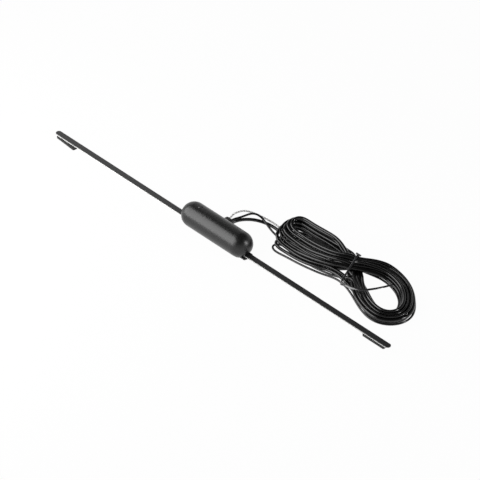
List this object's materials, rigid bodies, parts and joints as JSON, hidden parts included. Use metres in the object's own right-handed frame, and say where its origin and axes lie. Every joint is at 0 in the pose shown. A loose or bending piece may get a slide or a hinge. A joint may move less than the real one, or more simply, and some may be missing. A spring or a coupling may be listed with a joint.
{
  "type": "car radio antenna",
  "caption": "Windscreen car radio antenna: black pill-shaped amplifier, a flat aerial strip to each side on mounting pads, and its leads wound in a tied hank.",
  "frame": {"origin": "on the glass, under the middle of the amplifier housing", "axes": "+X along the strips, +Y towards the side that the leads leave by, +Z out of the glass"},
  "size_m": [0.4, 0.085, 0.0207],
  "materials": {
    "housing_plastic": "black moulded plastic with a fine satin texture",
    "cushion_tape": "black foam mounting pad",
    "strip_film": "dark grey satin coating on a flat conductor",
    "white_tape": "white foam tape with its liner on",
    "board_laminate": "green solder mask",
    "tinned_metal": "tinned",
    "ferrite": "sintered, dull",
    "copper_wire": "enamelled copper",
    "capacitor_can": "drawn can",
    "chip_epoxy": "moulded black",
    "chip_ceramic": "fired tan",
    "grommet_rubber": "soft black moulding",
    "plug_handle": "black moulded grip",
    "plug_plating": "nickel plate",
    "plug_core": "off-white insulator",
    "cable_jacket": "satin black cable jacket",
    "ground_wire": "clear jacket over tinned strands",
    "tie_wire": "black plastic over a soft wire"
  },
  "bodies": {
    "root": {"housing_cover": "housing_plastic", "housing_base": "housing_plastic", "base_adhesive_pad": "cushion_tape", "left_strip": "strip_film", "right_strip": "strip_film", "left_strip_tape": "white_tape", "right_strip_tape": "white_tape", "left_end_pad": "cushion_tape", "right_end_pad": "cushion_tape", "circuit_board": "board_laminate", "strip_rivets": "tinned_metal", "transformer_core": "ferrite", "transformer_winding": "copper_wire", "electrolytic_capacitor": "capacitor_can", "choke_core": "ferrite", "choke_winding": "copper_wire", "amplifier_transistors": "chip_epoxy", "chip_capacitors": "chip_ceramic", "chip_resistors": "chip_epoxy", "inner_lead_ends": "tinned_metal", "coax_ferrule": "tinned_metal", "cable_grommet": "grommet_rubber", "plug_grip": "plug_handle", "plug_barrel": "plug_plating", "plug_insulator": "plug_core", "plug_pin": "plug_plating", "cable_hank": "cable_jacket", "hank_tie": "tie_wire", "coax_run": "cable_jacket", "power_lead_run": "cable_jacket", "ground_lead_run": "ground_wire"}
  },
  "joints": []
}
